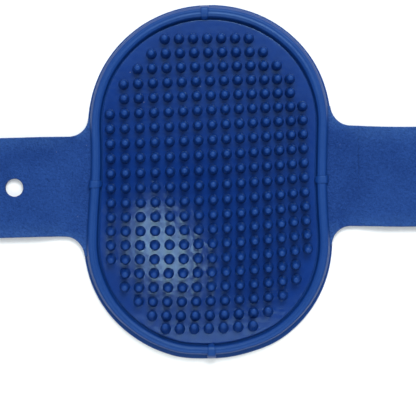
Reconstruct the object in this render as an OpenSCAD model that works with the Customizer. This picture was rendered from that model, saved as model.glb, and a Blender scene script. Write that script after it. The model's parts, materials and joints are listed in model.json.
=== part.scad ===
// Rubber curry brush for bathing, massaging and combing loose hair out of a dog or cat.
// An oval rubber pad carries rows of soft nubs inside a raised rim. A flat strap leaves each
// long side: the left one has a line of holes, the right one has two press studs. The straps
// fold down to the smooth palm face, and the studs snap into the holes behind the hand.
//
// Millimetres. The origin is the middle of the flat palm face. +Z points to the nub side,
// +X runs along the straps to the one with the studs, +Y runs along the length of the pad.
// The rubber bends all along a strap. Here each strap is a root and five flat links, and
// each link turns about a line across the strap in its palm face.

/* [Pad] */
// Length of the oval pad, across the straps
pad_l = 129; // [126:0.5:140]
// Width of the oval pad, along the straps
pad_w = 89; // [87:0.5:94]
// Thickness of the flat web that carries the nubs
web_t = 2.6; // [2:0.1:3.2]

/* [Rim] */
// Width of the rim round the web
rim_w = 4.3; // [3.6:0.1:4.8]
// Height of the rim above the palm face
rim_h = 4.8; // [4.4:0.1:6]
// How far the foot of the rim stands out past its wall
foot_step = 0.45; // [0.2:0.05:0.6]
// Height of that foot
foot_h = 1; // [0.6:0.1:1.6]
// Width of the four small lugs that cross the rim
lug_w = 3.2; // [2.4:0.1:4]
// How far the lugs stand above the rim
lug_rise = 0.35; // [0.2:0.05:0.6]

/* [Nubs] */
// Spacing of the nubs along a row
nub_pitch_x = 5.2; // [5:0.05:5.3]
// Spacing of the rows
nub_pitch_y = 5.38; // [5.2:0.02:5.4]
// Height of a nub above the web
nub_h = 5; // [3:0.25:7]
// Diameter of a nub at its base
nub_base_d = 3.6; // [3:0.1:4.4]
// Diameter of the round tip of a nub
nub_tip_d = 2.4; // [1.6:0.1:2.8]
// Distance from the pad's outer edge that the rows keep clear
nub_margin = 6.7; // [6.3:0.1:7]

/* [Straps] */
// Width of a strap
strap_w = 36.6; // [34:0.2:38]
// Thickness of a strap
strap_t = 2.4; // [2:0.1:2.8]
// Radius of the fillets where a strap leaves the rim
root_fillet = 7.5; // [6:0.5:8]
// Radius of the corners at a strap's free end
tip_corner = 14; // [8:0.5:17]

/* [Holes and studs] */
// Diameter of a strap hole
hole_d = 6.6; // [6.4:0.1:7.4]
// Distance of the first hole from the rim
hole_first = 26.5; // [25:0.5:28]
// Spacing of the holes, and of the two studs
hole_pitch = 16; // [15:0.5:17]
// Rubber left between the last hole's centre and the free end
hole_end = 12; // [10:0.5:14]
// Diameter of a stud's neck, which passes through a hole
neck_d = 5.8; // [5:0.1:6]
// Diameter of a stud's round head
head_d = 8.6; // [8:0.1:10]

/* [Closing] */
// Free space between the two straps when they are closed on each other
layer_gap = 0.3; // [0.2:0.05:0.6]
// Backward bend of a strap, as a share of its closing bend
back_bend = 0.25; // [0.1:0.05:0.3]

/* [Hidden] */
$fn = 72;
rubber = [0.10, 0.22, 0.50];
rubber_dark = [0.07, 0.17, 0.42];
stud_plastic = [0.12, 0.20, 0.42];

// The pad is two half circles joined by a straight part.
pad_r = pad_w / 2;
pad_straight = pad_l - pad_w;
web_r = pad_r - rim_w;
bead_r = (rim_w - foot_step) / 2;
bead_z = rim_h - bead_r;
wall_r = pad_r - foot_step;

// A lug is as long as the rim is wide, with a rounded inner end.
lug_len = rim_w + 0.3;
lug_floor = web_t;

// Nub rows are counted from the +Y end, and the middle row lies on the X axis.
nub_rows = 21;
nub_tip_r = nub_tip_d / 2;
nub_zone_r = pad_r - nub_margin;

// Closing angle at each fold line, from the rim outwards. They add up to a half turn.
folds = [60, 45, 30, 30, 15];
last_fold = len(folds) - 1;

// Distance of each fold line from the rim. The outer three lie midway between holes.
root_len = 3;
first_link = 5;
left_lines = [
    root_len,
    root_len + first_link,
    hole_first - hole_pitch / 2,
    hole_first + hole_pitch / 2,
    hole_first + hole_pitch * 3 / 2
];

// The right strap closes one layer inside the left one, so its second link is shorter.
layer = strap_t + layer_gap;
layer_cut = layer / sin(folds[0] + folds[1]);
right_lines = [for (i = [0 : last_fold]) left_lines[i] - (i > 1 ? layer_cut : 0)];

holes = 4;
left_reach = hole_at(holes) + hole_end;
stud_end = 7.8;
right_reach = stud_at(1) + stud_end;

// Stud: a flange let into the palm face, a post through the strap and a pressed-on cap.
fit_gap = 0.05;
flange_r = 5;
flange_h = 0.9;
post_r = 2;
post_h = strap_t + 3.6;
neck_h = layer + layer_gap + 0.3;
head_r = head_d / 2;
head_under = 0.7;
head_edge = 0.6;
dome_h = 1.1;
dome_r = (head_r * head_r + dome_h * dome_h) / (2 * dome_h);

// Slack added so that cuts run clean through.
over = 1;

// Distance of hole n from the rim.
function hole_at(n) = hole_first + (n - 1) * hole_pitch;

// Angle of link i from the palm face when its strap is closed.
function closed_turn(i) = i < 0 ? 0 : folds[i] + closed_turn(i - 1);

// Distance from the pad's middle plane to fold line i when the strap is closed.
function closed_out(lines, i) = i == 0
    ? pad_r + lines[0]
    : closed_out(lines, i - 1) + (lines[i] - lines[i - 1]) * cos(closed_turn(i - 1));

// X of hole n when the left strap is closed.
function closed_hole_x(n) =
    hole_at(n) - left_lines[last_fold] - closed_out(left_lines, last_fold);

// Distance from the rim to stud n, which lands in hole n + 2 when both straps are closed.
function stud_at(n) =
    right_lines[last_fold] + closed_out(right_lines, last_fold) - closed_hole_x(n + 2);

// Half width, at distance y along the pad, of the area the nubs may use.
function nub_zone(y) = abs(y) <= pad_straight / 2
    ? nub_zone_r
    : sqrt(max(0, pow(nub_zone_r, 2) - pow(abs(y) - pad_straight / 2, 2)));

// Centre of the fillet circle that touches both the strap's edge and the pad's outline.
fillet_y = strap_w / 2 + root_fillet;
fillet_rise = max(0, fillet_y - pad_straight / 2);
fillet_x = sqrt(pow(pad_r + root_fillet, 2) - pow(fillet_rise, 2));
root_y = min(fillet_y, pad_straight / 2) + fillet_rise * pad_r / (pad_r + root_fillet);

// Oval outline with end radius r.
module oval(r) {
    square([2 * r, pad_straight], center = true);
    for (s = [-1, 1]) {
        translate([0, s * pad_straight / 2])
            circle(r);
    }
}

// Cross-section of the rim, with X measured from the centre of the pad's rounded end.
module rim_section() {
    translate([web_r, 0])
        square([rim_w, foot_h]);
    translate([web_r, 0])
        square([wall_r - web_r, bead_z]);
    translate([wall_r - bead_r, bead_z])
        circle(bead_r);
}

// Footprint of one lug, from the outer edge inwards along -X.
module lug_outline() {
    translate([pad_r - lug_len + lug_w / 2, -lug_w / 2])
        square([lug_len - lug_w / 2 - foot_step, lug_w]);
    translate([pad_r - lug_len + lug_w / 2, 0])
        circle(lug_w / 2);
}

// The four lugs, one at each end of the pad's long and short middle lines, up to height top.
module lug_set(top) {
    for (s = [0, 180]) {
        rotate([0, 0, s])
            translate([0, 0, lug_floor])
            linear_extrude(height = top - lug_floor)
            lug_outline();
    }
    for (s = [90, 270]) {
        translate([0, (s - 180) / -90 * pad_straight / 2, lug_floor])
            rotate([0, 0, s])
            linear_extrude(height = top - lug_floor)
            lug_outline();
    }
}

// One nub: a tapered stem with a round tip.
module nub() {
    cylinder(h = nub_h - nub_tip_r, d1 = nub_base_d, d2 = nub_tip_d);
    translate([0, 0, nub_h - nub_tip_r])
        sphere(nub_tip_r);
}

// Row n of nubs, with as many as the oval leaves room for.
module nub_row(n) {
    y = ((nub_rows + 1) / 2 - n) * nub_pitch_y;
    side = floor(nub_zone(y) / nub_pitch_x);
    color(rubber) {
        for (i = [-side : side]) {
            translate([i * nub_pitch_x, y, web_t])
                nub();
        }
    }
}

// Flat outline of a strap that reaches the given distance past the rim along +X.
module strap_outline(reach) {
    tip_x = pad_r + reach - tip_corner;
    difference() {
        union() {
            translate([web_r, -strap_w / 2])
                square([tip_x - web_r, strap_w]);
            translate([web_r, -root_y])
                square([fillet_x - web_r, 2 * root_y]);
            translate([tip_x - over, tip_corner - strap_w / 2])
                square([tip_corner + over, strap_w - 2 * tip_corner]);
            for (s = [-1, 1]) {
                translate([tip_x, s * (strap_w / 2 - tip_corner)])
                    circle(tip_corner);
            }
        }
        for (s = [-1, 1]) {
            translate([fillet_x, s * fillet_y])
                circle(root_fillet);
        }
    }
}

// The part of a strap between two distances from the rim. Its ends lean back by the given
// angles, so that the top edges stay clear when the strap bends backwards.
module strap_slab(reach, from, to, lean_from, lean_to) {
    x0 = pad_r + from;
    x1 = pad_r + to;
    intersection() {
        linear_extrude(height = strap_t)
            strap_outline(reach);
        rotate([90, 0, 0])
            linear_extrude(height = pad_l, center = true)
            polygon([
                [x0, 0],
                [x1, 0],
                [x1 - strap_t * tan(lean_to), strap_t],
                [x0 + strap_t * tan(lean_from), strap_t]
            ]);
    }
}

// Lean of a link's end face at fold line i.
function lean(i) = folds[i] * back_bend / 2 + 0.5;

// The root of a strap, which stays with the pad, along +X.
module strap_root(lines) {
    difference() {
        strap_slab(lines[last_fold] + hole_pitch, -rim_w, lines[0], 0, lean(0));
        translate([0, 0, -over])
            linear_extrude(height = over + foot_h)
            oval(pad_r);
        linear_extrude(height = strap_t + over)
            oval(wall_r);
    }
}

// Link n of a strap, from one fold line to the next or to the free end, along +X.
module strap_link(n, lines, reach) {
    if (n <= last_fold)
        strap_slab(reach, lines[n - 1], lines[n], lean(n - 1), lean(n));
    else
        strap_slab(reach, lines[n - 1], reach, lean(n - 1), 0);
}

// Cutter for hole n, along +X.
module hole_cut(n) {
    translate([pad_r + hole_at(n), 0, -over])
        cylinder(h = strap_t + 2 * over, d = hole_d);
}

// Link n of the left strap with the holes that lie on it.
module left_link(n, first, last) {
    color(rubber)
        mirror([1, 0, 0])
        difference() {
            strap_link(n, left_lines, left_reach);
            for (i = [first : last]) {
                hole_cut(i);
            }
        }
}

// Link n of the right strap.
module right_link(n) {
    color(rubber)
        strap_link(n, right_lines, right_reach);
}

// Flange and post of stud n.
module stud_post(n) {
    color(stud_plastic)
        translate([pad_r + stud_at(n), 0, 0]) {
            cylinder(h = flange_h, r = flange_r);
            cylinder(h = post_h, r = post_r);
        }
}

// Cross-section of a stud's cap, from its axis outwards, before its socket is cut.
module cap_section() {
    square([neck_d / 2, neck_h + head_under]);
    translate([0, neck_h])
        polygon([
            [0, 0],
            [head_r - head_under, 0],
            [head_r, head_under],
            [head_r, head_under + head_edge],
            [0, head_under + head_edge]
        ]);
    intersection() {
        translate([0, neck_h + head_under + head_edge + dome_h - dome_r])
            circle(dome_r);
        translate([0, neck_h + head_under + head_edge])
            square([head_r, dome_h + over]);
    }
}

// Neck and round head of stud n, pressed onto its post.
module stud_cap(n) {
    color(stud_plastic)
        translate([pad_r + stud_at(n), 0, strap_t])
        difference() {
            rotate_extrude()
                cap_section();
            translate([0, 0, -over])
                cylinder(h = post_h - strap_t + fit_gap + over, r = post_r + fit_gap / 2);
        }
}

// Flat web inside the rim. Its underside is the palm face.
module pad_web() {
    color(rubber_dark)
        linear_extrude(height = web_t)
        oval(web_r);
}

// Raised rim round the pad, with a seat cut for each lug.
module rim_bead() {
    color(rubber)
        difference() {
            union() {
                for (s = [0, 1]) {
                    mirror([0, s, 0])
                        translate([0, pad_straight / 2, 0])
                        rotate_extrude(angle = 180)
                        rim_section();
                    mirror([s, 0, 0])
                        translate([0, pad_straight / 2, 0])
                        rotate([90, 0, 0])
                        linear_extrude(height = pad_straight)
                        rim_section();
                }
            }
            lug_set(rim_h + over);
        }
}

// Four small lugs across the rim.
module rim_lugs() {
    color(rubber)
        lug_set(rim_h + lug_rise);
}

module nub_row_01() { nub_row(1); }
module nub_row_02() { nub_row(2); }
module nub_row_03() { nub_row(3); }
module nub_row_04() { nub_row(4); }
module nub_row_05() { nub_row(5); }
module nub_row_06() { nub_row(6); }
module nub_row_07() { nub_row(7); }
module nub_row_08() { nub_row(8); }
module nub_row_09() { nub_row(9); }
module nub_row_10() { nub_row(10); }
module nub_row_11() { nub_row(11); }
module nub_row_12() { nub_row(12); }
module nub_row_13() { nub_row(13); }
module nub_row_14() { nub_row(14); }
module nub_row_15() { nub_row(15); }
module nub_row_16() { nub_row(16); }
module nub_row_17() { nub_row(17); }
module nub_row_18() { nub_row(18); }
module nub_row_19() { nub_row(19); }
module nub_row_20() { nub_row(20); }
module nub_row_21() { nub_row(21); }

// Root of the left strap.
module left_strap_root() {
    color(rubber)
        mirror([1, 0, 0])
        strap_root(left_lines);
}

// Left strap, from the rim outwards. The outer three links carry the holes.
module left_strap_link_1() { left_link(1, 1, 0); }
module left_strap_link_2() { left_link(2, 1, 0); }
module left_strap_link_3() { left_link(3, 1, 1); }
module left_strap_link_4() { left_link(4, 2, 2); }
module left_strap_link_5() { left_link(5, 3, 4); }

// Root of the right strap.
module right_strap_root() {
    color(rubber)
        strap_root(right_lines);
}

// Right strap, from the rim outwards.
module right_strap_link_1() { right_link(1); }
module right_strap_link_2() { right_link(2); }
module right_strap_link_3() { right_link(3); }
module right_strap_link_4() { right_link(4); }

// The last link of the right strap has a seat and a hole for each stud.
module right_strap_link_5() {
    difference() {
        right_link(5);
        for (n = [1, 2]) {
            translate([pad_r + stud_at(n), 0, -over])
                cylinder(h = over + flange_h, r = flange_r + fit_gap);
            translate([pad_r + stud_at(n), 0, -over])
                cylinder(h = strap_t + 2 * over, r = post_r + fit_gap);
        }
    }
}

module stud_post_1() { stud_post(1); }
module stud_post_2() { stud_post(2); }
module stud_cap_1() { stud_cap(1); }
module stud_cap_2() { stud_cap(2); }

pad_web();
rim_bead();
rim_lugs();
nub_row_01();
nub_row_02();
nub_row_03();
nub_row_04();
nub_row_05();
nub_row_06();
nub_row_07();
nub_row_08();
nub_row_09();
nub_row_10();
nub_row_11();
nub_row_12();
nub_row_13();
nub_row_14();
nub_row_15();
nub_row_16();
nub_row_17();
nub_row_18();
nub_row_19();
nub_row_20();
nub_row_21();
left_strap_root();
left_strap_link_1();
left_strap_link_2();
left_strap_link_3();
left_strap_link_4();
left_strap_link_5();
right_strap_root();
right_strap_link_1();
right_strap_link_2();
right_strap_link_3();
right_strap_link_4();
right_strap_link_5();
stud_post_1();
stud_post_2();
stud_cap_1();
stud_cap_2();
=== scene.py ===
"""Looks of the rubber curry brush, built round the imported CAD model.

Shapes are worked out in millimetres in the CAD frame, and a mesh is made in metres. Every piece
keeps its places at rest in the point attribute "rest", so a texture stays on it when it bends.
"""

import json
import math

import bmesh
import bpy
import numpy as np
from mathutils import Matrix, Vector


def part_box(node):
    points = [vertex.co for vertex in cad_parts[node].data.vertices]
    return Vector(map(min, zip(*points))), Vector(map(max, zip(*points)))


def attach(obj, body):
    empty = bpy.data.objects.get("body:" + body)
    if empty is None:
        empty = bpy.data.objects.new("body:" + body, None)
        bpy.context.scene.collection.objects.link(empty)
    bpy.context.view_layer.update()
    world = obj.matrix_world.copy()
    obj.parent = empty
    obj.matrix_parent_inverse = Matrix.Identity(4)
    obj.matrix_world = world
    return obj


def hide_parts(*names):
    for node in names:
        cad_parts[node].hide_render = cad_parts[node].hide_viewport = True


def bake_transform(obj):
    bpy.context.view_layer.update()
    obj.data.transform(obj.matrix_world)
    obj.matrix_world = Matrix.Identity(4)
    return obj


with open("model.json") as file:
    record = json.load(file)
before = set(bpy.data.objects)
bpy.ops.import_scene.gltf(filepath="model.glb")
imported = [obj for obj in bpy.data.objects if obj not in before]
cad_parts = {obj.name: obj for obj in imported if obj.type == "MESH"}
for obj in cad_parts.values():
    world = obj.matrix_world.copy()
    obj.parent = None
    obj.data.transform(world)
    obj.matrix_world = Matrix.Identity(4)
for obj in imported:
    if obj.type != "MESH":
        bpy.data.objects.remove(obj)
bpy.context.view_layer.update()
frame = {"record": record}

MM = 0.001


# ---------------------------------------------------------------- sizes, from the frame

def corners(node):
    """Lowest and highest corner of a CAD node, in millimetres."""
    low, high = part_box(node)
    return np.array(low) / MM, np.array(high) / MM


_, web_high = corners("pad_web")
_, rim_high = corners("rim_bead")
_, lug_high = corners("rim_lugs")
PAD_R = rim_high[0]
PAD_HALF_STRAIGHT = rim_high[1] - PAD_R
WEB_T = web_high[2]
RIM_H = rim_high[2]
LUG_RISE = lug_high[2] - RIM_H

# The number of nub rows, and of nubs on each side of the middle one in the widest rows.
NUB_ROWS = 21
WIDEST_ROW = 7
row_low, row_high = corners("nub_row_11")
NUB_BASE_R = (row_high[1] - row_low[1]) / 2
NUB_H = row_high[2] - WEB_T

left_low, left_high = corners("left_strap_link_5")
_, right_high = corners("right_strap_link_5")
STRAP_HALF_W = left_high[1]
STRAP_T = left_high[2]
REACH = {"left": -left_low[0], "right": right_high[0]}
SIGN = {"left": -1, "right": 1}

# Sizes that no CAD box gives: the width of a lug, the corners at a strap's tip and the fillets at
# its root, and how high the web's and the rim's lowest faces stand off the table, so that they
# don't lie in it.
LUG_W = 3.2
TIP_CORNER = 14
ROOT_FILLET = 7.5
LOWEST = 0.03

# A point nearer to an axis than this lies on it.
ON_AXIS = 1e-6

HOLES = [
    (abs(m["pos_m"][0]) / MM, m["dims"]["r_mm"])
    for m in frame["record"]["mounts"] if m["name"].startswith("strap_hole")
]


# ---------------------------------------------------------------- small helpers

def smooth(low, high, value):
    """0 below low, 1 above high, and an even curve between."""
    t = np.clip((value - low) / (high - low), 0, 1)
    return t * t * (3 - 2 * t)


def through(knots, value):
    """A smooth curve through (place, value) knots, level at each knot."""
    result = np.full_like(np.asarray(value, float), knots[0][1])
    for (a, before), (b, after) in zip(knots, knots[1:]):
        result += (after - before) * smooth(a, b, value)
    return result


def rounded(points, radii, steps=6, closed=True):
    """The points of a path with each corner replaced by an arc of its own radius."""
    path = []
    count = len(points)
    for i, (point, radius) in enumerate(zip(points, radii)):
        here = np.array(point, float)
        if radius == 0 or (not closed and i in (0, count - 1)):
            path.append(here)
            continue
        before = np.array(points[i - 1], float) - here
        after = np.array(points[(i + 1) % count], float) - here
        before /= np.linalg.norm(before)
        after /= np.linalg.norm(after)
        half_angle = math.acos(np.clip(before @ after, -1, 1)) / 2
        middle = (before + after) / np.linalg.norm(before + after)
        centre = here + middle * radius / math.sin(half_angle)
        start = here + before * radius / math.tan(half_angle) - centre
        end = here + after * radius / math.tan(half_angle) - centre
        sweep = math.acos(np.clip(start @ end / radius ** 2, -1, 1))
        for k in range(steps + 1):
            t = k / steps
            weight_a = math.sin((1 - t) * sweep) / math.sin(sweep)
            weight_b = math.sin(t * sweep) / math.sin(sweep)
            path.append(centre + start * weight_a + end * weight_b)
    return np.array(path)


def oval_stations(arc_steps=120, straight_steps=34):
    """Stations round the pad: an array of centre x, centre y, normal x and normal y.
    The outline with end radius r runs through centre + r * normal."""
    rows = []
    for turn in (0, math.pi):
        side = 1 if turn == 0 else -1
        for k in range(straight_steps):
            along = side * PAD_HALF_STRAIGHT * (2 * k / straight_steps - 1)
            rows.append((0, along, side, 0))
        for k in range(arc_steps):
            angle = turn + math.pi * k / arc_steps
            rows.append((0, side * PAD_HALF_STRAIGHT, math.cos(angle), math.sin(angle)))
    return np.array(rows)


def make_piece(name, points, faces, material, sharp=None, worn_and_sheen=None):
    """A smooth-shaded mesh object from points in millimetres. The last argument says, for each
    point, how much the surface is paled there, from 0 to 1: by use, and on the straps also by
    painted sheen."""
    points = np.asarray(points, float)
    mesh = bpy.data.meshes.new(name)
    mesh.from_pydata((points * MM).tolist(), [], faces)
    mesh.validate()
    rest = mesh.attributes.new("rest", "FLOAT_VECTOR", "POINT")
    rest.data.foreach_set("vector", points.astype(np.float32).ravel())
    wear_and_sheen = mesh.attributes.new("wear_and_sheen", "FLOAT", "POINT")
    if worn_and_sheen is not None:
        wear_and_sheen.data.foreach_set("value", np.asarray(worn_and_sheen, np.float32))
    mesh.polygons.foreach_set("use_smooth", [True] * len(mesh.polygons))
    if sharp is not None:
        mesh.set_sharp_from_angle(angle=math.radians(sharp))
    mesh.materials.append(material)
    piece = bpy.data.objects.new(name, mesh)
    bpy.context.scene.collection.objects.link(piece)
    return piece


def swept_faces(stations, ring, closed_ring=True):
    """Quads of a grid of stations by ring points, closed round the stations."""
    faces = []
    for i in range(stations):
        following = (i + 1) % stations
        for k in range(ring if closed_ring else ring - 1):
            right = (k + 1) % ring
            here = i * ring
            there = following * ring
            faces.append((here + k, there + k, there + right, here + right))
    return faces


def lathe(profile, centre, segments=24, lean=(0, 0), height=1.0):
    """Points and faces of a turned shape whose profile starts and ends on its axis.
    The shape leans by the given distance at the given height, and bends a little as it does."""
    lean_power = 1.3
    angles = np.linspace(0, 2 * math.pi, segments, endpoint=False)
    points = []
    for radius, z in profile:
        shift = np.array(lean) * (max(z, 0) / height) ** lean_power
        on_axis = radius < ON_AXIS
        for angle in angles[:1] if on_axis else angles:
            points.append((
                centre[0] + shift[0] + radius * math.cos(angle),
                centre[1] + shift[1] + radius * math.sin(angle),
                centre[2] + z,
            ))
    faces = []
    first = 0
    for (radius_a, _), (radius_b, _) in zip(profile, profile[1:]):
        count_a = 1 if radius_a < ON_AXIS else segments
        second = first + count_a
        for k in range(segments):
            after = (k + 1) % segments
            if count_a == 1:
                faces.append((first, second + after, second + k))
            elif radius_b < ON_AXIS:
                faces.append((first + k, first + after, second))
            else:
                faces.append((first + k, first + after, second + after, second + k))
        first = second
    return points, faces


# ---------------------------------------------------------------- materials

class Graph:
    """A short way to write a node tree."""

    def __init__(self, tree):
        self.tree = tree
        tree.nodes.clear()

    def add(self, kind, settings=None, **inputs):
        node = self.tree.nodes.new(kind)
        for name, value in (settings or {}).items():
            setattr(node, name, value)
        for name, value in inputs.items():
            key = int(name[1:]) if name[0] == "i" and name[1:].isdigit() else name.replace("_", " ")
            if isinstance(value, bpy.types.NodeSocket):
                self.tree.links.new(value, node.inputs[key])
            else:
                node.inputs[key].default_value = value
        return node

    def math(self, operation, a, b=0.0):
        settings = {"operation": operation}
        return self.add("ShaderNodeMath", settings, i0=a, i1=b).outputs[0]

    def remap(self, value, low, high, to_low=0.0, to_high=1.0):
        settings = {"interpolation_type": "SMOOTHSTEP"}
        return self.add(
            "ShaderNodeMapRange", settings,
            Value=value, From_Min=low, From_Max=high, To_Min=to_low, To_Max=to_high,
        ).outputs[0]

    def mix(self, share, a, b):
        settings = {"data_type": "RGBA", "blend_type": "MIX"}
        return self.add("ShaderNodeMix", settings, i0=share, i6=a, i7=b).outputs[2]

    def noise(self, place, scale, detail=2.0, roughness=0.5):
        return self.add(
            "ShaderNodeTexNoise", Vector=place, Scale=scale, Detail=detail, Roughness=roughness,
        ).outputs["Fac"]


def colour(red, green, blue):
    return (red, green, blue, 1.0)


# The paler colour of rubbed edges, also used for the painted sheen on the straps.
WORN_AND_SHEEN = colour(0.05, 0.14, 0.40)
LINT = colour(0.42, 0.42, 0.45)
SHINE = colour(0.50, 0.82, 1.0)
PALM_ROUGH = 0.62
PALM_RELIEF = 0.3


def rubber(name, look):
    """Moulded rubber, or plastic with the same kinds of marks. look holds:
    deep and pale, the two colours that the surface varies between;
    wear_and_sheen and dust, how much rubbed edges, a painted sheen beside a strap's edges, and
    specks of lint show, from 0 to 1;
    mottle and ripple, how fine the mottling and the slow waves are, per millimetre;
    grain and relief, the size and the depth of the moulded pits, in millimetres;
    tooth and ripple_depth, the strength of the fine grain and of the waves;
    rough and gloss, the range of the roughness and the specular level."""
    material = bpy.data.materials.new(name)
    material.use_nodes = True
    graph = Graph(material.node_tree)
    place = graph.add("ShaderNodeAttribute", {"attribute_name": "rest"}).outputs["Vector"]

    # Broad clouds where the rubber is a little paler, with finer mottling and flecks over them.
    clouds = graph.remap(graph.noise(place, 0.045, 2), 0.35, 0.65)
    mottle = graph.remap(graph.noise(place, look["mottle"], 3, 0.6), 0.3, 0.7)
    tooth = graph.noise(place, 2.2 / look["grain"], 3, 0.7)
    flecks = graph.remap(tooth, 0.38, 0.62)
    tone = graph.math("MULTIPLY", graph.math("ADD", clouds, mottle), 0.3)
    tone = graph.math("ADD", tone, graph.math("MULTIPLY", flecks, 0.4))
    base = graph.mix(tone, look["deep"], look["pale"])

    # Edges that hands and hair have rubbed are paler.
    # The same mask also paints a sheen: the flat beside a strap's edges is paler.
    wear_and_sheen_mask = graph.add("ShaderNodeAttribute", {"attribute_name": "wear_and_sheen"}).outputs["Fac"]
    patchy = graph.remap(graph.noise(place, 0.7, 3, 0.7), 0.3, 0.75, 0.35, 1.0)
    worn_and_sheen = graph.math("MULTIPLY", graph.math("MULTIPLY", wear_and_sheen_mask, patchy), look["wear_and_sheen"])
    base = graph.mix(worn_and_sheen, base, WORN_AND_SHEEN)

    # A few specks of dust and lint.
    cells = graph.add(
        "ShaderNodeTexVoronoi", {"feature": "F1"}, Vector=place, Scale=0.32, Randomness=1.0)
    speck = graph.remap(cells.outputs["Distance"], 0.03, 0.06, 1.0, 0.0)
    chosen = graph.math("GREATER_THAN", graph.noise(cells.outputs["Position"], 7.3, 0), 0.66)
    dust = graph.math("MULTIPLY", graph.math("MULTIPLY", speck, chosen), look["dust"])
    base = graph.mix(dust, base, LINT)

    # The moulded grain: shallow pits with raised edges, and a fine tooth.
    pits = graph.add(
        "ShaderNodeTexVoronoi", {"feature": "SMOOTH_F1"},
        Vector=place, Scale=1 / look["grain"], Smoothness=0.5, Randomness=1.0,
    ).outputs["Distance"]
    relief = graph.math("ADD", pits, graph.math("MULTIPLY", tooth, look["tooth"]))
    ripple = graph.noise(place, look["ripple"], 1)
    rough = graph.remap(tooth, 0.25, 0.75, look["rough"][0], look["rough"][1])

    # The palm face has no gloss, and a deeper grain.
    height = graph.add("ShaderNodeSeparateXYZ", Vector=place).outputs[2]
    palm = graph.remap(height, 0.1, 0.5, 1.0, 0.0)
    rough = graph.math("MAXIMUM", rough, graph.math("MULTIPLY", palm, PALM_ROUGH))
    depth = graph.math("MAXIMUM", graph.math("MULTIPLY", palm, PALM_RELIEF * MM), look["relief"] * MM)
    bump = graph.add("ShaderNodeBump", Height=relief, Strength=1.0, Distance=depth)
    bump = graph.add(
        "ShaderNodeBump", Height=ripple, Strength=look["ripple_depth"], Distance=1.0 * MM,
        Normal=bump.outputs["Normal"])

    shader = graph.add(
        "ShaderNodeBsdfPrincipled", Base_Color=base, Roughness=rough, Normal=bump.outputs["Normal"])
    shader.inputs["IOR"].default_value = 1.5
    shader.inputs["Specular IOR Level"].default_value = look["gloss"]
    shader.inputs["Specular Tint"].default_value = SHINE
    graph.add("ShaderNodeOutputMaterial", Surface=shader.outputs[0])
    return material


# The strap's amount of paling sets how strongly both its wear and its painted sheen show.
strap_rubber = rubber("strap_rubber", {
    "deep": colour(0.003, 0.024, 0.150), "pale": colour(0.018, 0.068, 0.285),
    "wear_and_sheen": 0.7, "dust": 0.35, "mottle": 1.1, "grain": 0.9, "tooth": 0.9, "relief": 0.60,
    "ripple": 0.12, "ripple_depth": 0.15, "rough": (0.55, 0.75), "gloss": 0.25,
})
web_rubber = rubber("web_rubber", {
    "deep": colour(0.0020, 0.0215, 0.152), "pale": colour(0.0035, 0.031, 0.189),
    "wear_and_sheen": 0.05, "dust": 0.5, "mottle": 0.5, "grain": 0.55, "tooth": 0.9, "relief": 0.006,
    "ripple": 0.45, "ripple_depth": 0.04, "rough": (0.08, 0.13), "gloss": 0.5,
})
rim_rubber = rubber("rim_rubber", {
    "deep": colour(0.003, 0.031, 0.170), "pale": colour(0.006, 0.040, 0.200),
    "wear_and_sheen": 0.10, "dust": 0.25, "mottle": 0.8, "grain": 0.6, "tooth": 0.8, "relief": 0.02,
    "ripple": 0.15, "ripple_depth": 0.2, "rough": (0.32, 0.48), "gloss": 0.28,
})
nub_rubber = rubber("nub_rubber", {
    "deep": colour(0.003, 0.025, 0.152), "pale": colour(0.006, 0.037, 0.190),
    "wear_and_sheen": 0.15, "dust": 0.2, "mottle": 0.8, "grain": 0.45, "tooth": 0.7, "relief": 0.012,
    "ripple": 0.2, "ripple_depth": 0.1, "rough": (0.32, 0.46), "gloss": 0.18,
})
stud_plastic = rubber("stud_plastic", {
    "deep": colour(0.006, 0.030, 0.150), "pale": colour(0.008, 0.036, 0.170),
    "wear_and_sheen": 0.4, "dust": 0.2, "mottle": 0.4, "grain": 0.7, "tooth": 0.5, "relief": 0.004,
    "ripple": 0.2, "ripple_depth": 0.05, "rough": (0.14, 0.22), "gloss": 0.5,
})


# ---------------------------------------------------------------- how the soft pad lies

def oval_radius(x, y):
    """End radius of the oval through a point."""
    beyond = np.maximum(np.abs(y) - PAD_HALF_STRAIGHT, 0)
    return np.hypot(x, beyond)


# The soft pad lies a little wider than its even oval, and unevenly: it is pushed to one side,
# drawn out along a slant, and stands out between its ends and the straps. Each wave is the number
# of its crests round the pad, its size in millimetres and the direction of a crest in degrees.
SPREAD = 0.7
SPREAD_WAVES = [(1, 0.65, -55), (2, 0.85, 60), (3, 0.35, 80), (4, 0.5, 40)]

# At the end towards -Y the rim lies further in between these two directions, in degrees. It
# comes back out over the distance given for each.
FLAT_FROM, FLAT_FROM_FADE = -97, 6
FLAT_TO, FLAT_TO_FADE = -72, 8
FLAT_DEPTH = 0.7


def lie(x, y):
    """Where a point of the even shape comes to lie on the uneven soft one."""
    degrees = np.degrees(np.arctan2(y, x))
    spread = SPREAD
    for crests, size, direction in SPREAD_WAVES:
        spread = spread + size * np.cos(np.radians(crests * (degrees - direction)))
    flat_from = smooth(FLAT_FROM - FLAT_FROM_FADE, FLAT_FROM + FLAT_FROM_FADE, degrees)
    flat_to = smooth(FLAT_TO - FLAT_TO_FADE, FLAT_TO + FLAT_TO_FADE, degrees)
    spread = spread - FLAT_DEPTH * (flat_from - flat_to)
    # The move grows from the middle to the rim, and is gone half a radius further out.
    outward = oval_radius(x, y) / PAD_R
    share = np.minimum(outward, 1) ** 1.5 * (1 - smooth(1.0, 1.5, outward))
    length = np.maximum(np.hypot(x, y), ON_AXIS)
    return x + x / length * spread * share, y + y / length * spread * share


def laid(points):
    """Points of the even shape moved to where the soft rubber lies."""
    points = np.array(points, float)
    points[:, 0], points[:, 1] = lie(points[:, 0], points[:, 1])
    return points


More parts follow.
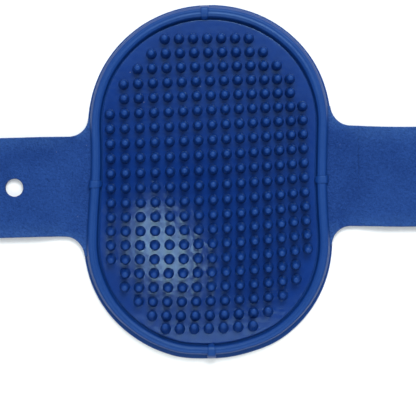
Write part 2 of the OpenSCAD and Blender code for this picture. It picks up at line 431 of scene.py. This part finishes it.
def bmesh_of(points, faces):
    """A bmesh with the given points and faces."""
    mesh = bmesh.new()
    made = [mesh.verts.new(p) for p in points]
    for face in faces:
        mesh.faces.new([made[i] for i in face])
    return mesh


def piece_from_bmesh(name, mesh, material, sharp=None, worn_and_sheen=None):
    """A piece from a bmesh in millimetres that is still even. The last argument gives how far its
    points are paled: by wear, and on the straps also by painted sheen.
    """
    mesh.verts.ensure_lookup_table()
    mesh.verts.index_update()
    points = np.array([tuple(v.co) for v in mesh.verts])
    faces = [tuple(v.index for v in f.verts) for f in mesh.faces]
    mesh.free()
    wear_and_sheen = worn_and_sheen(points) if worn_and_sheen else None
    return make_piece(name, laid(points), faces, material, sharp, wear_and_sheen)


# ---------------------------------------------------------------- web

# The web ends this far in from the pad's edge, in a rounded edge that goes down into the groove.
SHOULDER_D = 5.45
SHOULDER_ROUND = 0.25
GROOVE_DEPTH = 2.2
WEB_RINGS = 22

# Soft rubber doesn't lie quite flat: the web's middle stands up a little, in a long low swell.
SWELL = 0.35
SWELL_CENTRE = (-7, 2)
SWELL_TURN = 14.5
SWELL_ALONG = 34
SWELL_ACROSS = 26
SWELL_FADE = 14


def web_top(x, y):
    """Height of the web's upper face."""
    edge = smooth(0, SWELL_FADE, (PAD_R - SHOULDER_D) - oval_radius(x, y))
    turn = math.radians(SWELL_TURN)
    off_x = x - SWELL_CENTRE[0]
    off_y = y - SWELL_CENTRE[1]
    along = off_x * math.cos(turn) - off_y * math.sin(turn)
    across = off_x * math.sin(turn) + off_y * math.cos(turn)
    swell = SWELL * np.exp(-(along / SWELL_ALONG) ** 2 - (across / SWELL_ACROSS) ** 2)
    return WEB_T + swell * edge


def web_wear(points):
    """Wear of the web: along the edge of its upper face."""
    inside = (PAD_R - SHOULDER_D) - oval_radius(points[:, 0], points[:, 1])
    return smooth(0.8, 0.3, inside) * smooth(WEB_T - 0.6, WEB_T - 0.2, points[:, 2])


def build_web():
    stations = oval_stations()
    edge_r = PAD_R - SHOULDER_D
    shoulder = rounded(
        [(2 * SHOULDER_ROUND, 0), (0, 0), (0, -GROOVE_DEPTH)], [0, SHOULDER_ROUND, 0],
        steps=5, closed=False)
    rings = [(edge_r * k / WEB_RINGS, 0.0) for k in range(WEB_RINGS)]
    rings += [(edge_r - inset, drop) for inset, drop in shoulder]
    points = []
    for cx, cy, nx, ny in stations:
        for radius, drop in rings:
            x = cx + radius * nx
            y = cy + radius * ny
            points.append((x, y, web_top(x, y) + drop))
        points += [(cx + r * nx, cy + r * ny, LOWEST) for r in (edge_r, 0)]
    ring = len(rings) + 2
    mesh = bmesh_of(points, swept_faces(len(stations), ring, closed_ring=False))
    bmesh.ops.remove_doubles(mesh, verts=mesh.verts[:], dist=0.01)
    bmesh.ops.recalc_face_normals(mesh, faces=mesh.faces[:])
    piece = piece_from_bmesh("web_skin", mesh, web_rubber, sharp=50, worn_and_sheen=web_wear)
    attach(piece, "pad")
    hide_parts("pad_web")


# ---------------------------------------------------------------- rim and lugs

# Corners of the rim's cross-section for a rim of RIM_DRAWN_H: distance in from the pad's edge,
# height, corner radius, and how far the corner moves inwards along the straps and at the end
# towards -Y, where the foot shows.
RIM_DRAWN_H = 4.8
RIM_CORNERS = [
    (0.00, LOWEST, 0.12, 0, 0), (0.00, 1.00, 0.30, 0, 0), (0.45, 1.15, 0.35, 0.20, 0.95),
    (0.85, 3.20, 0.50, 0.20, 0.85), (1.75, 4.52, 0.60, 0, 0.35), (2.35, 4.80, 0.50, 0, 0.15),
    (3.00, 4.64, 0.80, 0, 0.05), (3.70, 4.80, 0.50, 0, 0), (4.60, 4.25, 0.45, 0, 0),
    (5.00, 1.85, 0.20, 0, 0), (5.30, 1.75, 0.10, 0, 0), (5.55, 1.75, 0, 0, 0),
    (5.55, LOWEST, 0, 0, 0),
]

# The moulding isn't quite even: how far the rim wanders outwards and upwards, and how far the
# thin flash at its foot stands out.
RIM_OUT = 0.10
RIM_UP = 0.06
RIM_FLASH = 0.25


def rim_path(beside_strap, at_end):
    """Cross-section of the rim as (distance in, height), between its forms at three places."""
    scale = RIM_H / RIM_DRAWN_H
    corners_2d = [
        (d + beside_strap * at_straps + at_end * at_foot, z * scale)
        for d, z, _, at_straps, at_foot in RIM_CORNERS
    ]
    return rounded(corners_2d, [corner[2] for corner in RIM_CORNERS], steps=6)


def wobble(turns, seed, parts=5):
    """A small unevenness round the rim that meets itself, from -1 to 1."""
    value = np.zeros_like(turns)
    for k in range(parts):
        waves = 3 + 4 * k + seed % 3
        value += np.sin(2 * math.pi * waves * turns + seed * 1.7 + k * 2.4) / (k + 1.5)
    return value / 2


def build_rim():
    stations = oval_stations(arc_steps=150, straight_steps=40)
    turns = np.arange(len(stations)) / len(stations)
    out_shift = RIM_OUT * wobble(turns, 1)
    up_shift = RIM_UP * wobble(turns, 2)
    flash = RIM_FLASH * np.clip(wobble(turns, 4), 0, 1)
    points = []
    worn_and_sheen = []
    for (cx, cy, nx, ny), out, up, fin in zip(stations, out_shift, up_shift, flash):
        beside_strap = abs(nx) ** 6
        at_end = smooth(0.15, 0.9, -ny)
        path = rim_path(beside_strap, at_end)
        for d, z in path:
            share = smooth(0.5, 3.0, z)
            foot = fin * (1 - smooth(0.0, 0.25, d)) * smooth(0.2, 0.6, z)
            radius = PAD_R - d + out * share + foot
            points.append((cx + radius * nx, cy + radius * ny, z + up * share))
            crown = smooth(4.2, 4.7, z)
            foot_edge = smooth(0.3, 0.05, d) * smooth(0.5, 0.9, z)
            worn_and_sheen.append(0.6 * crown + foot_edge)
    faces = swept_faces(len(stations), len(path))
    piece = make_piece("rim_skin", laid(points), faces, rim_rubber, sharp=50, worn_and_sheen=worn_and_sheen)
    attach(piece, "pad")
    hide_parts("rim_bead")


# A lug lies across the rim. Its ridge line as (distance in from the pad's edge, height), its
# length, how far it starts outside the edge, how far its sides fall off and over which width, and
# its lowest level.
LUG_RIDGE = [
    (-0.1, 0.9), (0.5, 2.4), (1.0, 4.1), (1.6, 4.7), (2.3, 4.78), (3.7, 4.74),
    (4.6, 4.3), (5.1, 3.7), (5.7, 3.1),
]
LUG_LENGTH = 5.7
LUG_OUTSIDE = 0.02
LUG_FALL = 0.75
LUG_ROUND = 0.55
LUG_BOTTOM = 0.6


def lug_wear(points):
    """Wear of the lugs: on their tops."""
    return 0.8 * smooth(4.6, 5.0, points[:, 2])


def lug_surface(nx, ny, reach, rows, columns):
    """Upper face of the lug in direction (nx, ny), at the distance reach from the pad's middle."""
    half = LUG_W / 2
    points = []
    for u in np.linspace(0, 1, rows):
        d = u * LUG_LENGTH - LUG_OUTSIDE
        round_end = max(0, d - (LUG_LENGTH - half))
        width = math.sqrt(max(half ** 2 - round_end ** 2, 0.01))
        ridge = np.interp(d, *zip(*LUG_RIDGE))
        for v in np.linspace(-1, 1, columns):
            inside = min(width * (1 - abs(v)), LUG_LENGTH - LUG_OUTSIDE - d, d + LUG_OUTSIDE)
            top = ridge + LUG_RISE - LUG_FALL * (1 - smooth(0, LUG_ROUND, inside)) ** 2
            out = reach - d
            side = v * width
            points.append((nx * out - ny * side, ny * out + nx * side, top))
    return points


def build_lugs():
    rows = 30
    columns = 17
    end_reach = PAD_R + PAD_HALF_STRAIGHT
    points = []
    faces = []
    for nx, ny, reach in [(1, 0, PAD_R), (-1, 0, PAD_R), (0, 1, end_reach), (0, -1, end_reach)]:
        first = len(points)
        points += lug_surface(nx, ny, reach, rows, columns)
        for i in range(rows - 1):
            for k in range(columns - 1):
                a = first + i * columns + k
                faces.append((a, a + columns, a + columns + 1, a + 1))
        outline = [first + k for k in range(columns)]
        outline += [first + i * columns + columns - 1 for i in range(1, rows)]
        outline += [first + (rows - 1) * columns + k for k in range(columns - 2, -1, -1)]
        outline += [first + i * columns for i in range(rows - 2, 0, -1)]
        bottom = len(points)
        points += [(points[i][0], points[i][1], LUG_BOTTOM) for i in outline]
        count = len(outline)
        for k in range(count):
            after = (k + 1) % count
            faces.append((outline[k], outline[after], bottom + after, bottom + k))
        faces.append(tuple(bottom + k for k in range(count - 1, -1, -1)))
    mesh = bmesh_of(points, faces)
    bmesh.ops.recalc_face_normals(mesh, faces=mesh.faces[:])
    piece = piece_from_bmesh("lugs_skin", mesh, rim_rubber, sharp=60, worn_and_sheen=lug_wear)
    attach(piece, "pad")
    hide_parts("rim_lugs")


# ---------------------------------------------------------------- nubs

# Corners of a nub's side view for a nub of NUB_DRAWN_H: distance from its axis, height above the
# web, and corner radius. It starts below the web's face, so that no gap shows.
NUB_DRAWN_H = 5
NUB_CORNERS = [
    (0, -0.5, 0), (2.05, -0.5, 0), (2.00, 0.0, 0), (1.84, 0.2, 0.15), (1.64, 2.0, 4.0),
    (1.12, 5.0, 1.05), (0, 5.0, 0),
]


def nub_tip(a, b, half_width, half_length):
    """Where a nub's tip stands, in millimetres. a and b run from -1 to 1 across the columns and up
    the rows of the even grid, which reaches half_width and half_length. The soft pad draws its grid
    out of true: the columns sway, and the rows slope and bow and stand closer at the ends."""
    sway = 1.9 * (1 - b ** 2) + 0.8 * b
    fan = 0.7 * b * (b - 1) - 0.5
    slope = 1.3 * (1 - b ** 2) - 0.4 * b
    bow = 0.7 - 1.5 * b
    x = half_width * a + fan * a - 0.7 * a ** 3 + sway * (1 - a ** 2)
    y = half_length * b + slope * a + bow * a ** 2 + 1.4 * b - 2.9 * b ** 3 + 1.2 * b ** 4 - 1.0
    return np.array([x, y])


def nub_lean(a, b):
    """How far a nub's tip stands off its root, in millimetres. The lowest rows lean up the pad,
    those above them a little down it, and the outer columns a little inwards."""
    up = 1.5 * smooth(0.72, 1.0, -b)
    down = 0.5 * (smooth(0.1, 0.4, -b) - smooth(0.55, 0.8, -b))
    from_left = 0.3 * smooth(0.3, 1.0, -a)
    from_right = 0.5 * smooth(0.3, 1.0, a) * smooth(0.2, 0.8, -b)
    return np.array([from_left - from_right, up - down])


def build_nubs():
    middle = (NUB_ROWS + 1) // 2
    _, top_high = corners("nub_row_01")
    half_width = (row_high[0] - row_low[0]) / 2 - NUB_BASE_R
    half_length = top_high[1] - NUB_BASE_R
    pitch = half_width / WIDEST_ROW
    nub_points = [(r, z * NUB_H / NUB_DRAWN_H) for r, z, _ in NUB_CORNERS]
    profile = rounded(nub_points, [corner[2] for corner in NUB_CORNERS], steps=6, closed=False)
    for n in range(1, NUB_ROWS + 1):
        node = "nub_row_%02d" % n
        low, high = corners(node)
        side = round((high[0] - low[0] - 2 * NUB_BASE_R) / pitch / 2)
        b = (middle - n) / (middle - 1)
        points = []
        faces = []
        worn_and_sheen = []
        for u in range(-side, side + 1):
            a = u / WIDEST_ROW
            lean = nub_lean(a, b)
            root = nub_tip(a, b, half_width, half_length) - lean
            height = web_top(root[0], root[1])
            nub, nub_faces = lathe(profile, (root[0], root[1], height), 24, lean, NUB_H)
            first = len(points)
            points += nub
            faces += [tuple(first + i for i in face) for face in nub_faces]
            worn_and_sheen += [smooth(NUB_H - 0.4, NUB_H, z - height) for _, _, z in nub]
        piece = make_piece("%s_skin" % node, points, faces, nub_rubber, sharp=70, worn_and_sheen=worn_and_sheen)
        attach(piece, "pad")
        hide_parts(node)


# ---------------------------------------------------------------- straps

# A strap's edge in side view for a strap of STRAP_DRAWN_T, as (distance in, height): round at the
# palm side and above. A hole's edge is a little less round.
STRAP_DRAWN_T = 2.4
EDGE_LEVELS = rounded(
    [(0.55, 0.04), (0, 0.04), (0, STRAP_DRAWN_T), (0.6, STRAP_DRAWN_T)], [0, 0.4, 0.5, 0],
    steps=4, closed=False)
HOLE_ROUND = 0.8

# How far a strap's root reaches under the rim.
ROOT_UNDER_RIM = 2.4

# How far the middle line of each strap lies off the X axis, as (distance along it, shift).
DRIFT = {
    "left": [(44, -0.3), (75, -0.6), (96, 0.0)],
    "right": [(44, 1.3), (76, 0.4), (100, 0.0)],
}

# How far a strap's edge towards -Y stands off the table at most.
EDGE_LIFT = 1.1


def edge_lift(x, y):
    """How far a point of a strap stands off the table. The edge does so unevenly."""
    waves = 0.9 + 0.1 * math.sin(x / 8 + 1)
    past_root = smooth(PAD_R + 9, PAD_R + 20, x)
    towards_edge = smooth(8, STRAP_HALF_W, -y) ** 1.5
    return EDGE_LIFT * waves * past_root * towards_edge


def arc(cx, cy, radius, start, end, steps):
    """Points of an arc between two directions in degrees."""
    angles = np.radians(np.linspace(start, end, steps + 1))
    return [(cx + radius * math.cos(t), cy + radius * math.sin(t)) for t in angles]


def strap_loop(reach, inset):
    """Outline of a strap along +X, drawn in by inset, from its upper root round its tip."""
    fillet_y = STRAP_HALF_W + ROOT_FILLET
    rise = fillet_y - PAD_HALF_STRAIGHT
    fillet_x = math.sqrt((PAD_R + ROOT_FILLET) ** 2 - rise ** 2)
    touch = math.degrees(math.atan2(rise, fillet_x))
    tip_x = reach - TIP_CORNER
    corner_y = STRAP_HALF_W - TIP_CORNER
    inner_x = PAD_R - ROOT_UNDER_RIM
    half = arc(fillet_x, fillet_y, ROOT_FILLET + inset, 180 + touch, 270, 16)
    half += arc(tip_x, corner_y, TIP_CORNER - inset, 90, 0, 18)
    upper = [(inner_x, half[0][1])] + half
    return upper + [(x, -y) for x, y in reversed(upper)]


def hole_loop(x, radius, inset, steps=48):
    """Outline of a hole, widened by inset."""
    return arc(x, 0, radius + inset, 0, 360 * (1 - 1 / steps), steps - 1)


def add_wall(mesh, loop_of, levels):
    """Side wall through the given levels. Returns the lowest and the highest loop's edges."""
    rings = [[mesh.verts.new((x, y, z)) for x, y in loop_of(inset)] for inset, z in levels]
    for below, above in zip(rings, rings[1:]):
        for k in range(len(below)):
            after = (k + 1) % len(below)
            mesh.faces.new((below[k], below[after], above[after], above[k]))
    ends = []
    for ring in (rings[0], rings[-1]):
        ends.append([mesh.edges.get((ring[k], ring[(k + 1) % len(ring)])) for k in range(len(ring))])
    return ends


def cut(mesh, place, normal, clear_outer=False, clear_inner=False):
    """Cuts a mesh by a plane, and clears one side of it if that is asked for."""
    geometry = mesh.verts[:] + mesh.edges[:] + mesh.faces[:]
    return bmesh.ops.bisect_plane(
        mesh, geom=geometry, dist=0.0005, plane_co=place, plane_no=normal,
        clear_outer=clear_outer, clear_inner=clear_inner)


def strap_solid(reach, holes, cuts):
    """The whole strap along +X as a closed bmesh, with cross lines 1 mm apart and at the cuts, and
    4 mm apart the other way."""
    levels = [(inset, z * STRAP_T / STRAP_DRAWN_T) for inset, z in EDGE_LEVELS]
    mesh = bmesh.new()
    low_edges, high_edges = add_wall(mesh, lambda inset: strap_loop(reach, inset), levels)
    for x, radius in holes:
        low, high = add_wall(mesh, lambda inset: hole_loop(x, radius, inset * HOLE_ROUND), levels)
        low_edges += low
        high_edges += high
    for edges in (low_edges, high_edges):
        bmesh.ops.triangle_fill(mesh, edges=edges, use_beauty=True)
    even = np.arange(math.ceil(PAD_R), reach - 0.5, 1.0)
    clear = [x for x in even if min(abs(x - c) for c in cuts) > 0.3]
    for x in sorted(clear + cuts):
        cut(mesh, (x, 0, 0), (1, 0, 0))
    # A hair off the even numbers, so that no line runs through a corner of a hole's outline.
    for y in np.arange(-16, 17, 4):
        cut(mesh, (0, y + 0.017, 0), (0, 1, 0))
    bmesh.ops.recalc_face_normals(mesh, faces=mesh.faces[:])
    return mesh


# Where each strap is divided, as distances from the rim, and how far each bend spreads to both
# sides of its fold line.
PARTS = {
    "left": {"cuts": [5.5, 10.75, 26.25, 42.5], "spread": [2.5, 2.5, 7.5, 8, 8]},
    "right": {"cuts": [5.5, 10.6, 22.2, 39.7], "spread": [2.5, 2.5, 5, 8, 8]},
}


def strap_wear_and_sheen(points):
    """Wear, strongest on the rounded edge, and painted sheen that fades over the flat beside it."""
    off_axis = np.abs(points[:, 1])
    past_root = smooth(PAD_R + 3, PAD_R + 14, np.abs(points[:, 0]))
    # Painted sheen: the flat beside each edge is paler, as if it caught light.
    beside = smooth(STRAP_HALF_W - 7, STRAP_HALF_W, off_axis) * past_root
    on_edge = smooth(STRAP_HALF_W - 0.7, STRAP_HALF_W - 0.1, off_axis)
    return np.maximum(0.55 * beside, 0.7 * on_edge)


def build_strap(side):
    sign = SIGN[side]
    cuts = [PAD_R + s for s in PARTS[side]["cuts"]]
    whole = strap_solid(REACH[side], HOLES if side == "left" else [], cuts)
    ends = [None] + cuts + [None]
    for n in range(5):
        mesh = whole.copy()
        if ends[n] is not None:
            cut(mesh, (ends[n], 0, 0), (1, 0, 0), clear_inner=True)
        if ends[n + 1] is not None:
            cut(mesh, (ends[n + 1], 0, 0), (1, 0, 0), clear_outer=True)
        open_edges = [e for e in mesh.edges if e.is_boundary]
        bmesh.ops.holes_fill(mesh, edges=open_edges, sides=0)
        for v in mesh.verts:
            drift = through(DRIFT[side], v.co.x)
            v.co.z += edge_lift(v.co.x, v.co.y)
            v.co.x *= sign
            v.co.y += drift
        bmesh.ops.recalc_face_normals(mesh, faces=mesh.faces[:])
        piece = piece_from_bmesh(
            "%s_strap_skin_%d" % (side, n + 1), mesh, strap_rubber, sharp=32, worn_and_sheen=strap_wear_and_sheen)
        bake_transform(piece)
        replaced = ["%s_strap_link_%d" % (side, n + 1)]
        if n == 0:
            replaced.append("%s_strap_root" % side)
        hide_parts(*replaced)
    whole.free()


# ---------------------------------------------------------------- studs

# A stud is a post with a flange, and a cap with a neck and a head, which sits on the strap.
FLANGE_T = 0.9
POST_R = 1.95
POST_BELOW_TOP = 2.2
CAP_FROM = 2.4
NECK_R = 2.9
HEAD_FROM = 5.7


def stud_profile(part, flange_r, head_r, top):
    """Side view of a stud's post or cap as (distance from the axis, height)."""
    if part == "post":
        post_top = top - POST_BELOW_TOP
        points = [
            (0, 0.02), (flange_r, 0.02), (flange_r, FLANGE_T), (POST_R, FLANGE_T),
            (POST_R, post_top), (0, post_top),
        ]
        profile = rounded(points, [0, 0.25, 0.1, 0.3, 0.2, 0], steps=5, closed=False)
    else:
        points = [
            (0, CAP_FROM), (NECK_R, CAP_FROM), (NECK_R, HEAD_FROM), (3.6, HEAD_FROM),
            (head_r, 6.4), (head_r, 7.0), (2.6, 7.75), (0, top),
        ]
        profile = rounded(points, [0, 0.15, 0.3, 0.3, 0.3, 0.35, 3.0, 0], steps=6, closed=False)
    return [(max(r, 0), z) for r, z in profile]


def build_studs():
    for n in (1, 2):
        post_low, post_high = corners("stud_post_%d" % n)
        cap_low, cap_high = corners("stud_cap_%d" % n)
        x = (post_low[0] + post_high[0]) / 2
        flange_r = (post_high[0] - post_low[0]) / 2
        head_r = (cap_high[0] - cap_low[0]) / 2
        for part in ("post", "cap"):
            profile = stud_profile(part, flange_r, head_r, cap_high[2])
            points, faces = lathe(profile, (x, 0, 0), segments=64)
            worn_and_sheen = [smooth(head_r - 1.0, head_r, math.hypot(px - x, py)) for px, py, _ in points]
            piece = make_piece(
                "stud_%s_skin_%d" % (part, n), points, faces, stud_plastic, sharp=50, worn_and_sheen=worn_and_sheen)
            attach(piece, "right_link_5")
            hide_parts("stud_%s_%d" % (part, n))


# ---------------------------------------------------------------- floor, light and camera

# How far the floors reach, the height of the deep one, and how far inside a strap's edges the
# sides of its opening in the table lie.
FAR = 3000
DEEP_FLOOR = -80
SLOT_SHORT = 0.15


def table_material():
    """A pale, matt face with a faint grain."""
    material = bpy.data.materials.new("table")
    material.use_nodes = True
    graph = Graph(material.node_tree)
    place = graph.add("ShaderNodeNewGeometry").outputs["Position"]
    grain = graph.remap(graph.noise(place, 400, 2), 0.3, 0.7)
    tone = graph.mix(grain, colour(0.87, 0.905, 0.90), colour(0.90, 0.935, 0.93))
    shader = graph.add("ShaderNodeBsdfPrincipled", Base_Color=tone, Roughness=0.9)
    shader.inputs["Specular IOR Level"].default_value = 0.1
    graph.add("ShaderNodeOutputMaterial", Surface=shader.outputs[0])
    return material


def build_floor():
    """A pale table under the brush. It is open under the strap roots, where a strap that folds
    passes through it, and a second floor lies deeper down."""
    material = table_material()
    slot_half = STRAP_HALF_W - SLOT_SHORT
    xs = [-FAR, -PAD_R - 10, -PAD_R + 2, PAD_R - 2, PAD_R + 10, FAR]
    slots = {1: DRIFT["left"][0][1], 3: DRIFT["right"][0][1]}
    points = []
    faces = []
    for i in range(len(xs) - 1):
        middle = slots.get(i, 0)
        ys = [-FAR, middle - slot_half, middle + slot_half, FAR]
        first = len(points)
        points += [(x, y, 0) for x in xs[i:i + 2] for y in ys]
        for k in range(3):
            if i in slots and k == 1:
                continue
            a = first + k
            faces.append((a, a + 4, a + 5, a + 1))
    table = make_piece("table", points, faces, material)
    table.visible_shadow = False
    square = [(-FAR, -FAR), (FAR, -FAR), (FAR, FAR), (-FAR, FAR)]
    deep = make_piece("floor", [(x, y, DEEP_FLOOR) for x, y in square], [(0, 1, 2, 3)], material)


# The studio's sky by direction. The sine of the half angle of the dark patch straight above, and
# the brightness of the walls, the ceiling and the dark patch, of the light band over the end
# towards +Y, and of the paler side of the dark patch towards +X.
DARK_HALF = 0.27
WALL_LIGHT = 0.4
CEILING_LIGHT = 0.62
DARK_LIGHT = 0.02
BAND_LIGHT = 1.9
SIDE_LIGHT = 0.35


def build_world():
    """A bright studio ceiling with a dark patch straight above, and dimmer walls."""
    world = bpy.data.worlds.new("studio")
    bpy.context.scene.world = world
    world.use_nodes = True
    graph = Graph(world.node_tree)
    direction = graph.add("ShaderNodeTexCoord").outputs["Generated"]
    x, y, z = graph.add("ShaderNodeSeparateXYZ", Vector=direction).outputs
    across = graph.math("POWER", graph.math("DIVIDE", x, DARK_HALF), 2.0)
    along = graph.math("POWER", graph.math("DIVIDE", y, DARK_HALF), 2.0)
    ceiling = graph.remap(graph.math("ADD", across, along), 0.5, 1.6)
    high = graph.remap(z, 0.15, 0.75, WALL_LIGHT, CEILING_LIGHT)

    # The light band starts at the zenith, and fades further down and to both sides.
    band = graph.remap(y, 0.0, 0.34, 0.0, BAND_LIGHT)
    band = graph.math("MULTIPLY", band, graph.remap(y, 0.38, 0.6, 1.0, 0.0))
    sideways = graph.math("ABSOLUTE", x)
    band = graph.math("MULTIPLY", band, graph.remap(sideways, 0.25, 0.45, 1.0, 0.0))
    band = graph.math("MULTIPLY", band, graph.remap(z, 0.3, 0.6))

    side = graph.remap(x, 0.0, 0.12, 0.0, SIDE_LIGHT)
    strength = graph.math("MAXIMUM", graph.math("MULTIPLY", ceiling, high), side)
    below = graph.remap(z, -0.05, 0.05, 1.0, 0.0)
    strength = graph.math("ADD", graph.math("MAXIMUM", strength, below), band)
    strength = graph.math("MAXIMUM", strength, DARK_LIGHT)
    light = graph.add("ShaderNodeBackground", Color=colour(0.97, 0.985, 1.0), Strength=strength)
    graph.add("ShaderNodeOutputWorld", Surface=light.outputs[0])


def add_area(name, place, target, size, power):
    """A rectangular lamp at a place in millimetres that faces the target."""
    light = bpy.data.lights.new(name, "AREA")
    light.shape = "RECTANGLE"
    light.size, light.size_y = (s * MM for s in size)
    light.energy = power
    lamp = bpy.data.objects.new(name, light)
    lamp.location = Vector(place) * MM
    lamp.rotation_euler = (Vector(target) - Vector(place)).to_track_quat("-Z", "Y").to_euler()
    bpy.context.scene.collection.objects.link(lamp)


def build_camera():
    """Straight above the brush, a little towards -Y, and turned by a small angle. The view is
    view_width wide at the height plane_z."""
    distance = 450
    view_width = 152.3
    plane_z = 2
    off_middle = 9.5
    turn = math.radians(-1.2)
    data = bpy.data.cameras.new("camera")
    data.sensor_width = 36
    data.lens = data.sensor_width * distance / view_width
    data.clip_start = 0.01
    data.clip_end = 20
    camera = bpy.data.objects.new("camera", data)
    up = Vector((math.sin(-turn), math.cos(turn), 0))
    camera.location = (Vector((0, 0, plane_z + distance)) - up * off_middle) * MM
    camera.rotation_euler = (0, 0, turn)
    bpy.context.scene.collection.objects.link(camera)
    bpy.context.scene.camera = camera


bpy.context.scene.view_settings.view_transform = "Standard"
build_camera()
build_web()
build_rim()
build_lugs()
build_nubs()
build_strap("left")
build_strap("right")
build_studs()
build_floor()
build_world()

# A broad main light, a weaker one from the other side, and two lamps overhead that are so faint
# that they show mainly in the web's gloss: as its bright patch, and as a band along the end
# towards -Y.
add_area("key", (95, 410, 580), (0, 0, 0), (400, 240), 3.9)
add_area("fill", (-60, -430, 360), (0, 0, 0), (360, 160), 0.8)
add_area("glare", (-39, -44, 460), (-18, -24, 0), (60, 16), 0.050)
add_area("strip", (0, -109, 460), (0, -56, 0), (190, 12), 0.042)
